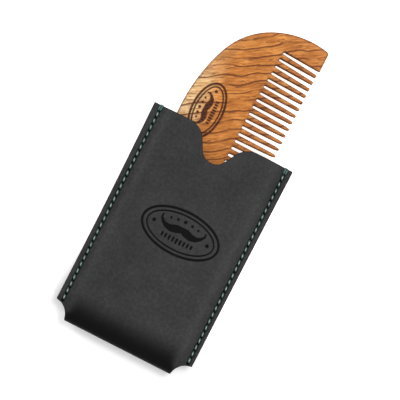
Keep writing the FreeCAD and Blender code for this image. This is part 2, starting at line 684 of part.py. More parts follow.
def round_wire(route, radius):
    """Straight runs between the corners of a route, joined by tangent arcs."""
    edges = []
    start = route[0]
    for before, corner, after in zip(route, route[1:], route[2:]):
        inward = (before - corner).normalize()
        outward = (after - corner).normalize()
        half_angle = inward.getAngle(outward) / 2
        trim = radius / math.tan(half_angle)
        bisector = (inward + outward).normalize()
        centre = corner + bisector * (radius / math.sin(half_angle))
        first = corner + inward * trim
        last = corner + outward * trim
        edges.append(Part.LineSegment(start, first).toShape())
        edges.append(Part.Arc(first, centre - bisector * radius, last).toShape())
        start = last
    edges.append(Part.LineSegment(start, route[-1]).toShape())
    return Part.Wire(edges)


def make_thread(doc, side):
    """One waxed thread with both of its strands, as round tubes."""
    radius = SIZE["thread_width"] / 2
    strands = []
    for first_down in (True, False):
        route = thread_route(first_down)
        wire = round_wire(route, SIZE["thread_bend"])
        circle = Part.Wire(Part.makeCircle(radius, route[0], route[1] - route[0]))
        strand = wire.makePipeShell([circle], True, False)
        print("thread", side, "length %.1f mm" % wire.Length,
              "volume ratio %.4f" % (strand.Volume / (math.pi * radius ** 2 * wire.Length)))
        strands.append(strand)
    thread = doc.addObject("Part::Feature", "seam_thread_" + side)
    thread.Shape = Part.makeCompound(strands)
    away = -SIZE["seam_middle"] if side == "left" else SIZE["seam_middle"]
    thread.Placement.Base = FreeCAD.Vector(away, 0, HALF_HEIGHT)
    return thread


# ---------------------------------------------------------------- the whole object

def check(doc, nodes):
    for item in doc.Objects:
        if {"Invalid", "Error"} & set(item.State):
            raise RuntimeError("%s failed: %s" % (item.Name, item.State))
    for node in nodes:
        shape = node.Shape
        if shape.isNull() or not shape.isValid() or not shape.Solids:
            raise RuntimeError("%s has no valid solid" % node.Label)


def main():
    doc = FreeCAD.newDocument("beard_comb")
    make_sheet(doc)
    comb = make_comb(doc)
    left_tool = make_seam_tool(doc)
    right_tool = doc.addObject("Part::Mirroring", "right_seam_tool")
    right_tool.Source = left_tool
    right_tool.Normal = (1, 0, 0)
    leather = make_sheath(doc, left_tool, right_tool)
    nodes = [comb, leather]
    for side, tool in (("left", left_tool), ("right", right_tool)):
        nodes.append(make_glue(doc, side, tool))
        nodes.append(make_thread(doc, side))
    doc.recompute()
    check(doc, nodes)

    os.makedirs("parts", exist_ok=True)
    for node in nodes:
        node.Shape.exportStep("parts/%s.step" % node.Label)
        box = node.Shape.BoundBox
        print("%-20s solids %d  volume %9.1f  x %.2f..%.2f  y %.2f..%.2f  z %.2f..%.2f" % (
            node.Label, len(node.Shape.Solids), node.Shape.Volume,
            box.XMin, box.XMax, box.YMin, box.YMax, box.ZMin, box.ZMax))


main()
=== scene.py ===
import math
import random

import bpy
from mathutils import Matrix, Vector, geometry, noise


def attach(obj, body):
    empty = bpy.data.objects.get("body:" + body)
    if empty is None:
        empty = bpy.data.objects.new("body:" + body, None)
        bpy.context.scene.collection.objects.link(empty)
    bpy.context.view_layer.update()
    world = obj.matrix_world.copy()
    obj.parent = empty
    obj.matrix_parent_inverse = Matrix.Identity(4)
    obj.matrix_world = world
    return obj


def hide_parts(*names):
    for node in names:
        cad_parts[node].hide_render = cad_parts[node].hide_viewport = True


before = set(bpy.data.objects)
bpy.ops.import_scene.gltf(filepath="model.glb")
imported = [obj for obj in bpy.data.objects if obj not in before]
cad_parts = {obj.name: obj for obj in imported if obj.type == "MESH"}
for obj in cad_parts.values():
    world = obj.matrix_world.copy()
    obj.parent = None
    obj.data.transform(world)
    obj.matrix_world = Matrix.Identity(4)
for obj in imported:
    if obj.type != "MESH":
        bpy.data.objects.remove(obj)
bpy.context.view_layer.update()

# Shapes are in mm and are turned to metres by new_piece. Shader sizes are in metres.
MM = 0.001
MIDDLE = 4.15

# ---------------- small helpers


def clamp(value, low=0.0, high=1.0):
    return max(low, min(high, value))


def smooth(start, end, value):
    """0 before start, 1 after end, smooth between them."""
    t = clamp((value - start) / (end - start))
    return t * t * (3 - 2 * t)


def new_piece(name, points, faces, material, numbers=None):
    """A mesh object from points in mm, with one float attribute for each entry of numbers."""
    mesh = bpy.data.meshes.new(name)
    mesh.from_pydata([(x * MM, y * MM, z * MM) for x, y, z in points], [], faces)
    for title, values in (numbers or {}).items():
        layer = mesh.attributes.new(title, "FLOAT", "POINT")
        layer.data.foreach_set("value", values)
    mesh.polygons.foreach_set("use_smooth", [True] * len(mesh.polygons))
    mesh.materials.append(material)
    mesh.update()
    piece = bpy.data.objects.new(name, mesh)
    bpy.context.scene.collection.objects.link(piece)
    return piece


def grey(value):
    return (value, value, value)


def on_body(piece, body, node):
    """Puts the piece on its body, in place of the CAD node."""
    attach(piece, body)
    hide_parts(node)


# ---------------- shader helpers


class Graph:
    """Short names for the node calls that every material makes."""

    def __init__(self, name):
        self.material = bpy.data.materials.new(name)
        self.material.use_nodes = True
        self.tree = self.material.node_tree
        self.shader = self.tree.nodes["Principled BSDF"]
        self.place = self.node("ShaderNodeTexCoord").outputs["Object"]

    def node(self, kind, **settings):
        made = self.tree.nodes.new(kind)
        for key, value in settings.items():
            setattr(made, key, value)
        return made

    def link(self, source, target):
        if isinstance(source, (int, float)):
            target.default_value = source
        elif isinstance(source, tuple):
            target.default_value = source if len(source) == len(target.default_value) else (*source, 1)
        else:
            self.tree.links.new(source, target)

    def filled(self, kind, values, **settings):
        """The outputs of a new node whose inputs are set to the values or linked to them."""
        made = self.node(kind, **settings)
        for title, value in values.items():
            self.link(value, made.inputs[title])
        return made.outputs

    def mapped(self, source, scale=(1, 1, 1), turn=0.0):
        """The place multiplied by scale along each axis, then turned about Z, in radians."""
        values = {"Vector": source, "Scale": scale, "Rotation": (0, 0, turn)}
        return self.filled("ShaderNodeMapping", values)["Vector"]

    def noise(self, source, scale, detail=3.0, rough=0.5, distortion=0.0):
        values = {"Vector": source, "Scale": scale, "Detail": detail, "Roughness": rough,
                  "Distortion": distortion}
        return self.filled("ShaderNodeTexNoise", values)["Fac"]

    def cells(self, source, scale):
        values = {"Vector": source, "Scale": scale}
        return self.filled("ShaderNodeTexVoronoi", values, feature="F1")["Distance"]

    def math(self, operation, first, second=0.0, third=0.0):
        values = {0: first, 1: second, 2: third}
        return self.filled("ShaderNodeMath", values, operation=operation)[0]

    def remap(self, source, low, high, to_low=0.0, to_high=1.0):
        """to_low where source is at low, to_high where it is at high, smooth between them."""
        values = {"Value": source, "From Min": low, "From Max": high, "To Min": to_low, "To Max": to_high}
        return self.filled("ShaderNodeMapRange", values, interpolation_type="SMOOTHSTEP")["Result"]

    def mix(self, share, first, second, blend="MIX"):
        values = {"Factor": share, "A": first, "B": second}
        return self.filled("ShaderNodeMix", values, data_type="RGBA", blend_type=blend)["Result"]

    def over(self, base, colour, mask, amount=1.0):
        """The base with that much of the colour over it where the mask is 1."""
        share = mask if amount == 1.0 else self.math("MULTIPLY", mask, amount)
        return self.mix(share, base, colour)

    def axes(self, source):
        return self.filled("ShaderNodeSeparateXYZ", {0: source})

    def number(self, name):
        return self.node("ShaderNodeAttribute", attribute_name=name).outputs["Fac"]

    def bump(self, height, distance, strength):
        values = {"Height": height, "Distance": distance, "Strength": strength}
        return self.filled("ShaderNodeBump", values)["Normal"]

    def surface(self, **values):
        for title, value in values.items():
            self.link(value, self.shader.inputs[title.replace("_", " ")])
        return self.material


LEATHER_LOW = (0.0330, 0.0332, 0.0338)
LEATHER_HIGH = (0.0415, 0.0416, 0.0422)
LEATHER_CLOUD = (0.047, 0.047, 0.0475)
LEATHER_SCUFF = grey(0.075)
LEATHER_SPECK_LOW = grey(0.81)
LEATHER_SPECK_HIGH = grey(1.19)
LEATHER_FOLD_SHADE = (0.0022, 0.0022, 0.0024)
LEATHER_PRESSED_AND_SHADE = (0.0012, 0.0012, 0.0014)
LEATHER_LIP_HIGHLIGHT = grey(0.11)
LEATHER_CUT_EDGE = (0.006, 0.0058, 0.0056)


def leather_material():
    """Black full-grain leather: fine pebble, faint mottling, scuffs, a dark cut edge; darker where
    stamped, partly painted shade in the hollows; painted shade in the stitch holes and towards the fold; a
    painted highlight on stamped lines' lips.
    """
    g = Graph("leather_black")
    pebble = g.cells(g.mapped(g.place, scale=(1, 0.85, 1)), 1500)
    grain = g.noise(g.place, 2600, 4, 0.6)
    mottle = g.noise(g.place, 90, 4, 0.6)
    cloud = g.noise(g.place, 28, 3, 0.5)
    scuff = g.noise(g.mapped(g.place, scale=(1, 0.25, 1), turn=0.5), 420, 5, 0.65, 0.4)
    speck = g.noise(g.place, 620, 5, 0.75)
    pressed_dark_and_shade = g.number("pressed_dark_and_shade")
    folded = g.number("folded")
    rim = g.number("rim")
    lip_highlight_mask = g.math("MULTIPLY", pressed_dark_and_shade, g.math("SUBTRACT", 1.0, pressed_dark_and_shade))

    base = g.mix(g.remap(mottle, 0.3, 0.72), LEATHER_LOW, LEATHER_HIGH)
    base = g.over(base, LEATHER_CLOUD, g.remap(cloud, 0.35, 0.7), 0.3)
    base = g.over(base, LEATHER_SCUFF, g.remap(scuff, 0.62, 0.78), 0.3)
    speckled = g.mix(g.remap(speck, 0.3, 0.7), LEATHER_SPECK_LOW, LEATHER_SPECK_HIGH)
    base = g.mix(1.0, base, speckled, "MULTIPLY")
    # painted shade towards the fold
    base = g.over(base, LEATHER_FOLD_SHADE, folded)
    # darker where stamped, partly the leather's own colour and partly painted shade in the hollows;
    # painted shade in the stitch holes
    base = g.over(base, LEATHER_PRESSED_AND_SHADE, pressed_dark_and_shade)
    # painted highlight along the lips of the stamped lines and holes
    base = g.over(base, LEATHER_LIP_HIGHLIGHT, g.remap(lip_highlight_mask, 0.03, 0.2), 0.12)
    base = g.over(base, LEATHER_CUT_EDGE, rim, 0.85)

    rough = g.remap(mottle, 0.25, 0.75, 0.5, 0.6)
    rough = g.math("SUBTRACT", rough, g.math("MULTIPLY", rim, 0.1))
    height = g.math("ADD", g.math("MULTIPLY", pebble, 0.6), g.math("MULTIPLY", grain, 0.5))
    height = g.math("ADD", height, g.math("MULTIPLY", mottle, 1.2))
    normal = g.bump(height, 0.00009, 0.7)
    return g.surface(Base_Color=base, Roughness=rough, Specular_IOR_Level=0.1, Normal=normal)


GRAIN_TURN = math.radians(-31)
LINES_PER_METRE = 255
WOOD_DARK = (0.43, 0.130, 0.020)
WOOD_LIGHT = (0.80, 0.310, 0.066)
WOOD_PATCH = (0.55, 0.180, 0.029)
WOOD_PALE = (1.0, 0.70, 0.35)
WOOD_BLOTCH_LIGHT = (0.92, 0.40, 0.10)
WOOD_BLOTCH_DARK = (0.42, 0.165, 0.028)
WOOD_FINE = (0.33, 0.092, 0.016)
WOOD_LINE = (0.115, 0.028, 0.006)
WOOD_PORE = (0.12, 0.034, 0.009)
CHAR_SHADE_BLACK = (0.016, 0.003, 0.001)
CHAR_SHADE_BROWN = (0.110, 0.026, 0.008)


def growth_lines(g, along):
    """Dark growth lines along the grain, wavy and broken, with three fainter ones to each."""
    warp = g.noise(along, 55, 2, 0.5)
    wobble = g.noise(g.mapped(along, scale=(0.5, 1, 1)), 260, 2, 0.5)
    axes = g.axes(along)
    across = g.math("MULTIPLY_ADD", axes["Z"], 0.5, axes["Y"])
    across = g.math("MULTIPLY_ADD", warp, 0.0065, across)
    across = g.math("MULTIPLY_ADD", wobble, 0.0013, across)
    ring = g.math("FRACT", g.math("MULTIPLY", across, LINES_PER_METRE))
    line = g.math("MULTIPLY", g.remap(ring, 0.68, 0.9), g.remap(ring, 1.0, 0.94))
    broken = g.remap(g.noise(g.mapped(along, scale=(0.22, 1, 1)), 190, 3, 0.6), 0.33, 0.52)
    thin = g.math("FRACT", g.math("MULTIPLY", across, 3 * LINES_PER_METRE))
    thin = g.math("MULTIPLY", g.remap(thin, 0.6, 0.9), g.remap(thin, 1.0, 0.92))
    return g.math("MAXIMUM", g.math("MULTIPLY", line, broken), g.math("MULTIPLY", thin, 0.3))


def wood_material():
    """Oiled hardwood: honey ground, dark wavy growth lines, short pores, charred walls and mark, painted
    shade on the flat beside one side of each tooth.
    """
    g = Graph("wood_honey")
    along = g.mapped(g.place, turn=GRAIN_TURN)
    lines = growth_lines(g, along)
    streak = g.noise(g.mapped(along, scale=(0.16, 1, 0.5)), 900, 4, 0.65)
    fine = g.noise(g.mapped(along, scale=(0.1, 1, 0.5)), 1700, 4, 0.65)
    pores = g.remap(g.noise(g.mapped(along, scale=(0.16, 1, 1)), 1500, 2, 0.5), 0.6, 0.7)
    patch = g.noise(g.place, 26, 3, 0.5)
    blotch = g.noise(g.mapped(along, scale=(0.6, 1, 1)), 210, 4, 0.65)
    soot = g.noise(g.place, 1100, 3, 0.6)
    burnt = g.number("burnt")
    pale = g.number("pale")

    base = g.mix(g.remap(streak, 0.3, 0.7), WOOD_DARK, WOOD_LIGHT)
    base = g.over(base, WOOD_PATCH, g.remap(patch, 0.35, 0.68), 0.5)
    base = g.over(base, WOOD_PALE, pale, 0.92)
    base = g.over(base, WOOD_BLOTCH_LIGHT, g.remap(blotch, 0.48, 0.62), 0.42)
    base = g.over(base, WOOD_BLOTCH_DARK, g.remap(blotch, 0.46, 0.34), 0.38)
    base = g.over(base, WOOD_FINE, g.remap(fine, 0.42, 0.68), 0.65)
    base = g.over(base, WOOD_LINE, lines, 0.9)
    base = g.over(base, WOOD_PORE, pores, 0.7)
    # charred walls and mark, and painted shade beside the teeth, both in char colours
    char_shade_colour = g.mix(g.remap(soot, 0.38, 0.66), CHAR_SHADE_BLACK, CHAR_SHADE_BROWN)
    base = g.over(base, char_shade_colour, burnt)

    rough = g.remap(streak, 0.3, 0.7, 0.42, 0.55)
    rough = g.math("MULTIPLY_ADD", burnt, 0.25, rough)
    height = g.math("ADD", g.math("MULTIPLY", lines, -0.6), g.math("MULTIPLY", pores, -1.0))
    height = g.math("ADD", height, g.math("MULTIPLY", streak, 0.5))
    height = g.math("ADD", height, g.math("MULTIPLY", fine, 0.3))
    normal = g.bump(height, 0.00006, 0.6)
    return g.surface(Base_Color=base, Roughness=rough, Specular_IOR_Level=0.25, Normal=normal)


THREAD_DARK = (0.008, 0.058, 0.053)
THREAD_LIGHT = (0.030, 0.135, 0.122)
THREAD_HIGHLIGHT = (0.46, 0.54, 0.50)
THREAD_HOLE_SHADE = (0.001, 0.006, 0.006)


def thread_material():
    """Waxed dark teal thread: fibres along each ply, a painted highlight on top of each stitch where the
    wax would catch the light, painted shade down in the holes.
    """
    g = Graph("thread_teal")
    fibre = g.noise(g.mapped(g.place, scale=(1, 0.35, 1)), 5200, 3, 0.6)
    wear = g.noise(g.place, 650, 2, 0.5)
    base = g.mix(g.remap(fibre, 0.3, 0.7), THREAD_DARK, THREAD_LIGHT)
    # painted highlight on top of each stitch
    base = g.over(base, THREAD_HIGHLIGHT, g.number("stitch_highlight"), 0.85)
    # painted shade down in the holes
    base = g.over(base, THREAD_HOLE_SHADE, g.number("hole_shade"))
    rough = g.remap(wear, 0.3, 0.7, 0.3, 0.42)
    normal = g.bump(fibre, 0.00003, 0.6)
    return g.surface(Base_Color=base, Roughness=rough, Specular_IOR_Level=0.5, Normal=normal)


CEMENT_DARK = (0.045, 0.028, 0.014)
CEMENT_LIGHT = (0.085, 0.055, 0.028)


def glue_material():
    """Dried contact cement: dull amber-brown, lumpy."""
    g = Graph("glue_cement")
    lumps = g.noise(g.place, 900, 4, 0.6)
    base = g.mix(g.remap(lumps, 0.3, 0.7), CEMENT_DARK, CEMENT_LIGHT)
    rough = g.remap(lumps, 0.3, 0.7, 0.55, 0.75)
    return g.surface(Base_Color=base, Roughness=rough, Normal=g.bump(lumps, 0.00005, 0.8))


PAPER_LOW = grey(0.88)
PAPER_HIGH = grey(0.90)
SHADE_Y = -0.079
SHADE_HALF_WIDTH = 0.03
SHADE_EDGE = (0.004, 0.05)
GLOW = (0.26, 0.9)


def floor_material():
    """White paper that glows, so that it reads as plain white, but less round the sheath's fold (the SHADE
    values): a painted shadow there, so that the fold's shadow shows."""
    g = Graph("floor_paper")
    tooth = g.noise(g.place, 400, 3, 0.5)
    base = g.mix(tooth, PAPER_LOW, PAPER_HIGH)
    axes = g.axes(g.place)
    along = g.math("ABSOLUTE", g.math("ADD", axes["Y"], -SHADE_Y))
    aside = g.math("SUBTRACT", g.math("ABSOLUTE", axes["X"]), SHADE_HALF_WIDTH)
    # painted shadow: less glow round the sheath's fold
    glow = g.remap(g.math("MAXIMUM", along, aside), *SHADE_EDGE, *GLOW)
    return g.surface(Base_Color=base, Roughness=0.9, Specular_IOR_Level=0.1,
                     Normal=g.bump(tooth, 0.00002, 0.2),
                     Emission_Color=grey(1.0), Emission_Strength=glow)


# ---------------- plain emblem


def ellipse_line(x, y, wide, high, thick):
    """Distance past the edge of a line drawn along an ellipse, below 0 inside the line."""
    reach = math.hypot(x / wide, y / high)
    slope = math.hypot(x / wide ** 2, y / high ** 2) / max(reach, 1e-6)
    return abs(reach - 1) / max(slope, 1e-6) - thick / 2


OUTER_OVAL = (17.9, 9.6, 1.0)
INNER_OVAL = (15.7, 7.8, 0.6)
EMBLEM_HALF = (19.5, 11.0)
STROKE_STEP = 1.75
STROKE_TOP = -3.1
DOTS = ((0.0, 5.2, 0.75), (3.4, 4.9, 0.6), (6.5, 4.4, 0.5), (12.8, 0.2, 0.8))
MOUSTACHE = [(0.0, 0.5, 1.3), (2.2, 0.0, 1.75), (4.6, -0.7, 1.55), (7.0, -0.6, 1.1), (9.0, 0.5, 0.7),
             (10.3, 2.1, 0.42), (10.2, 3.5, 0.3)]


def stroke(x, y, marks):
    """Distance past the edge of a chain of round marks (x, y, radius) joined by tapered bars."""
    best = 99.0
    for (ax, ay, ar), (bx, by, br) in zip(marks, marks[1:]):
        dx, dy = bx - ax, by - ay
        t = clamp(((x - ax) * dx + (y - ay) * dy) / (dx * dx + dy * dy))
        best = min(best, math.hypot(x - ax - t * dx, y - ay - t * dy) - ar - t * (br - ar))
    return best


def emblem(x, y):
    """Distance past the nearest line of the emblem, in mm at full size (37 by 20), below 0 inside.

    It is a plain moustache in a double oval, with a row of short combed strokes under it."""
    if abs(x) > EMBLEM_HALF[0] or abs(y) > EMBLEM_HALF[1]:
        return 9.0
    side = abs(x)
    best = min(ellipse_line(x, y, *OUTER_OVAL), ellipse_line(x, y, *INNER_OVAL))
    best = min(best, stroke(side, y - 0.9, MOUSTACHE))
    for place in range(5):
        along = place * STROKE_STEP
        low = STROKE_TOP - 1.7 + 0.16 * place
        best = min(best, stroke(side, y, [(along, STROKE_TOP, 0.48), (along, low, 0.42)]))
    for dot_x, dot_y, radius in DOTS:
        best = min(best, math.hypot(side - dot_x, y - dot_y) - radius)
    return best


# ---------------- sheath leather

SHEATH_HALF = 33.7
SIDE_TAPER = 0.7
LEFT_BOW = 0.35
MOUTH = 24.3
FOLD_END = -78.4
CUT_TOP = -71.36
LEATHER = 1.5
CAVITY = 2.65
FLAT_HALF = 21.5
BEND_IN = 6.5
GAP_HALF = 0.07
BEND_END = 29.27
FOLD_CENTRE = -75.8
FOLD_OUT = 2.6
SWEEP_START = -67.4
SWEEP_OUT = 26.1
CUT_CENTRE = (33.3, -78.76)
CUT_RADIUS = 7.4
NOTCH_CENTRE = 17.8
NOTCH_RADIUS = 6.3
LIP_CENTRE = (16.5, 14.4)
LIP_RADIUS = 9.9
NOTCH_TURN = math.radians(27.6)
EDGE = 0.32
CUT_START = CUT_CENTRE[0] - CUT_RADIUS - EDGE
EDGE_PROFILE = [(0.38, 0.08), (0.78, 0.36), (1.0, 0.9)]
SEAM_LEFT = -30.2
SEAM_RIGHT = 30.7
SEAM_MEAN = (SEAM_RIGHT - SEAM_LEFT) / 2
FIRST_HOLE = 21.45
PITCH = 3.175
HOLES = 30
GROOVE_HALF = 0.95
GROOVE_DEPTH = 0.4
HOLE_DEPTH = 0.8
MOUTH_DENT = 0.5
NOTCH_REACH = 8.0
FOLD_ROWS = 26
WAVE_BROAD = 0.16
WAVE_FINE = 0.05
WAVE_SINK = 0.09
EMBLEM_DEPTH = 0.42
EMBLEM_AT = (2.1, -21.6)
EMBLEM_BOX = (-19.0, 23.2, -33.2, -9.9)


def from_seam(x):
    """Distance of x from the seam on its side."""
    return abs(x - (SEAM_LEFT if x < 0 else SEAM_RIGHT))


def on_emblem(x, y, face):
    low_x, high_x, low_y, high_y = EMBLEM_BOX
    return face > 0 and low_x < x < high_x and low_y < y < high_y


def half_section(x, layer):
    """Height above the middle plane of the leather's outside (layer 1) or inside (layer 0)."""
    side = abs(x)
    top = CAVITY + layer * LEATHER
    outward = BEND_IN + layer * LEATHER
    inward = BEND_IN - layer * LEATHER
    turn = math.atan2(BEND_END - FLAT_HALF, GAP_HALF + BEND_IN - (CAVITY - BEND_IN))
    if side <= FLAT_HALF:
        return top
    if side <= FLAT_HALF + outward * math.sin(turn):
        return top - outward + math.sqrt(outward ** 2 - (side - FLAT_HALF) ** 2)
    margin = GAP_HALF + layer * LEATHER
    if side <= BEND_END:
        return margin + inward - math.sqrt(inward ** 2 - (BEND_END - side) ** 2)
    return margin


def notch_top(x):
    """The y of the mouth's edge, notch included, set in by EDGE for the rounding."""
    side = abs(x)
    low, lip = NOTCH_RADIUS + EDGE, LIP_RADIUS - EDGE
    if side <= low * math.cos(NOTCH_TURN):
        return NOTCH_CENTRE - math.sqrt(low ** 2 - side ** 2)
    start = (low * math.cos(NOTCH_TURN), NOTCH_CENTRE - low * math.sin(NOTCH_TURN))
    end = (LIP_CENTRE[0] - lip * math.cos(NOTCH_TURN), LIP_CENTRE[1] + lip * math.sin(NOTCH_TURN))
    if side <= end[0]:
        return start[1] + (end[1] - start[1]) * (side - start[0]) / (end[0] - start[0])
    if side <= LIP_CENTRE[0]:
        return LIP_CENTRE[1] + math.sqrt(lip ** 2 - (side - LIP_CENTRE[0]) ** 2)
    return MOUTH - EDGE - MOUTH_DENT * smooth(1.15, 0.6, from_seam(x))


def cut_bottom(x):
    """The y where a column ends: the fold's outer end, or the round cut at its side."""
    side = abs(x)
    radius = CUT_RADIUS + EDGE
    if side <= CUT_START:
        return FOLD_END
    reach = min(CUT_CENTRE[0] - side, radius)
    return max(FOLD_END, CUT_CENTRE[1] + math.sqrt(max(radius ** 2 - reach ** 2, 0.0)))


def fold_profile(layer, steps=90):
    """The side view of the fold from SWEEP_START to its end: a list of (length, y, height)."""
    nose = FOLD_OUT - (1 - layer) * LEATHER
    sweep = SWEEP_OUT - (1 - layer) * LEATHER
    centre = CAVITY + layer * LEATHER - sweep
    turn = math.atan2(SWEEP_START - FOLD_CENTRE, -centre)
    points = []
    for k in range(steps + 1):
        angle = turn * k / steps
        points.append((SWEEP_START - sweep * math.sin(angle), centre + sweep * math.cos(angle)))
    for k in range(1, steps + 1):
        angle = turn + (math.pi / 2 - turn) * k / steps
        points.append((FOLD_CENTRE - nose * math.sin(angle), nose * math.cos(angle)))
    length, table = 0.0, [(0.0, *points[0])]
    for before, after in zip(points, points[1:]):
        length += math.dist(before, after)
        table.append((length, *after))
    return table


FOLDS = (fold_profile(0), fold_profile(1))


def look_up(table, key, value):
    """The row of a sorted table, in between two entries, where column key has that value."""
    sign = 1 if table[-1][key] > table[0][key] else -1
    for before, after in zip(table, table[1:]):
        if sign * after[key] >= sign * value:
            span = after[key] - before[key]
            t = 0.0 if span == 0 else clamp((value - before[key]) / span)
            return [a + t * (b - a) for a, b in zip(before, after)]
    return list(table[-1])


def hole_near(y):
    """Distance along the seam to the nearest stitch hole."""
    count = round((FIRST_HOLE - y) / PITCH)
    count = max(0, min(HOLES - 1, count))
    return abs(y - (FIRST_HOLE - count * PITCH))


class Leather:
    """Builds the strip, doubled over at the fold: an outside and an inside skin on one grid, and the cut
    edge between.
    """

    def __init__(self):
        self.points, self.faces = [], []
        self.numbers = {"pressed_dark_and_shade": [], "folded": [], "rim": []}
        self.columns = self.make_columns()
        self.rows = self.make_rows()
        self.first_fold = len(self.rows) - 1
        self.last_row = self.first_fold + FOLD_ROWS
        self.known = {}

    def make_columns(self):
        """x of the columns of both halves, closest together over the groove and the margin."""
        marks = [0.85 * k for k in range(20)]
        marks += [17.2, 18.6, 20.0, FLAT_HALF, 22.6, 23.7, 24.8]
        radius = CUT_RADIUS + EDGE
        marks += [CUT_CENTRE[0] - radius * math.cos(math.radians(a)) for a in (0, 7, 14, 21, 28, 36)]
        marks += [27.7, 28.4, 28.9, 29.1, BEND_END]
        marks += [29.5 + 0.25 * k for k in range(10)]
        marks += [32.1, 32.6, 33.0, SHEATH_HALF - EDGE]
        return sorted({round(sign * mark, 4) for mark in marks for sign in (-1, 1)})

    def make_rows(self):
        """Rows across the panel, two to a stitch, from the mouth to where the fold's sweep starts."""
        step = PITCH / 2
        rows = [MOUTH - EDGE, MOUTH - 1.0]
        y = FIRST_HOLE + step / 2
        while y > SWEEP_START + step:
            rows.append(y)
            y -= step
        return rows + [SWEEP_START]

    def column_x(self, x, y):
        """x after the sheath's slight taper towards the fold, which only the margins follow."""
        along = clamp((MOUTH - y) / (MOUTH - CUT_TOP))
        taper = SIDE_TAPER * along
        if x < 0:
            taper += LEFT_BOW * math.sin(math.pi * along)
        return x - math.copysign(taper, x) * smooth(31.7, 33.2, abs(x))

    def bumps(self, x, y, face):
        """Depth sunk into the outside at (x, y), and how much the leather darkens there: partly its own
        darker colour where stamped, partly painted shade in the hollows, and painted shade in the stitch
        holes.
        """
        off = from_seam(x)
        depth = GROOVE_DEPTH * smooth(GROOVE_HALF + 0.15, GROOVE_HALF - 0.45, off)
        # the groove darker: partly the leather's own darker colour where it is creased, partly painted
        # shade in the hollow
        dark = 0.35 * smooth(GROOVE_HALF + 0.2, 0.3, off)
        hole = math.hypot(off, hole_near(y))
        depth += HOLE_DEPTH * smooth(0.85, 0.2, hole)
        # painted shade in and round each stitch hole
        dark = max(dark, 1.08 * smooth(1.0, 0.55, hole))
        if on_emblem(x, y, face):
            far = emblem(x - EMBLEM_AT[0], y - EMBLEM_AT[1])
            depth += EMBLEM_DEPTH * smooth(0.22, -0.2, far)
            # the emblem's lines darker: partly the stamped leather's own colour, partly painted shade in
            # the hollows
            dark = max(dark, 0.95 * smooth(0.3, -0.05, far))
        return depth, dark

    def wave(self, x, y, face):
        """Slight unevenness of the panel. It leaves the glued margins alone."""
        free = smooth(27.5, 19.0, abs(x)) * smooth(FOLD_CENTRE, SWEEP_START, y)
        place = Vector((x * 0.045, y * 0.033, 3.0 * face))
        return free * (WAVE_BROAD * noise.noise(place) + WAVE_FINE * noise.noise(place * 3.7) - WAVE_SINK)

    def painted_fold_shade(self, x, y):
        """Painted shade towards the fold: how far the leather's colour is darkened there. The fold's two
        ends stay lighter.
        """
        dark = 1.0 - (1.0 - smooth(-62.0, -76.5, y)) ** 1.5
        return dark * (1.0 - 0.75 * smooth(22.0, 30.0, abs(x) - 5 * smooth(-73.0, -77.0, y)))

    def vertex(self, column, row, layer, face):
        """The vertex of a grid position. column and row may lie between the grid's lines. The two
        panels share the vertices where the fold ends."""
        shared = row >= self.last_row and abs(self.at(self.columns, column)) <= CUT_START + 1e-3
        key = (round(column * 64), round(row * 64), layer, 0 if shared else face)
        if key not in self.known:
            self.known[key] = self.make_vertex(column, row, layer, face)
        return self.known[key]

    def make_vertex(self, column, row, layer, face):
        x = self.at(self.columns, column)
        top = CAVITY + layer * LEATHER
        y, drop = self.follow_fold(x, row, layer)
        side_drop = top - half_section(x, layer)
        both = (drop ** 3 + side_drop ** 3) ** (1 / 3)
        keep = smooth(2.6, 1.2, drop)
        height = top - (drop + (both - drop) * keep)
        # the inside skin takes half of the fold's painted shade colour everywhere
        pressed_dark_and_shade, folded = 0.0, 0.5
        if layer:
            depth, pressed_dark_and_shade = self.bumps(x, y, face)
            height += self.wave(x, y, face) - depth * keep
            folded = self.painted_fold_shade(x, y)
        place = (self.column_x(x, y), y, MIDDLE + face * height)
        return self.add(place, pressed_dark_and_shade, folded, 0.0)

    def follow_fold(self, x, row, layer):
        """(y, drop) where a row crosses x. drop is how far the fold has brought the leather down."""
        if row <= self.first_fold:
            y = self.at(self.rows, row)
            if y > NOTCH_REACH:
                stretch = (notch_top(x) - NOTCH_REACH) / (self.rows[0] - NOTCH_REACH)
                y = NOTCH_REACH + (y - NOTCH_REACH) * stretch
            return y, 0.0
        bottom = cut_bottom(x)
        table = FOLDS[layer]
        whole = look_up(table, 1, bottom)[0] if bottom > FOLD_END else table[-1][0]
        share = (row - self.first_fold) / FOLD_ROWS
        _, y, height = look_up(table, 0, whole * share)
        return y, CAVITY + layer * LEATHER - height

    def add(self, place, pressed_dark_and_shade, folded, rim):
        self.points.append(place)
        self.numbers["pressed_dark_and_shade"].append(pressed_dark_and_shade)
        self.numbers["folded"].append(folded)
        self.numbers["rim"].append(rim)
        return len(self.points) - 1

    @staticmethod
    def at(values, place):
        """The value at a whole or part place in a list of values."""
        low = min(int(place), len(values) - 1)
        high = min(low + 1, len(values) - 1)
        return values[low] + (values[high] - values[low]) * (place - low)

    def refined(self, column, row, face):
        """(parts across, parts along) of a grid cell of the outside."""
        if not (0 <= column < len(self.columns) - 1) or not (1 <= row < len(self.rows) - 1):
            return 1, 1
        x = (self.columns[column] + self.columns[column + 1]) / 2
        y = (self.rows[row] + self.rows[row + 1]) / 2
        if abs(abs(x) - SEAM_MEAN) < GROOVE_HALF + 0.55:
            return 1, 4
        return (4, 8) if on_emblem(x, y, face) else (1, 1)

    def skin(self, layer, face):
        for column in range(len(self.columns) - 1):
            for row in range(self.last_row):
                self.cell(column, row, layer, face)

    def cell(self, column, row, layer, face):
        """One grid cell: many small faces where it is refined, or else one that meets its neighbours."""
        def parts(c, r):
            return self.refined(c, r, face) if layer else (1, 1)

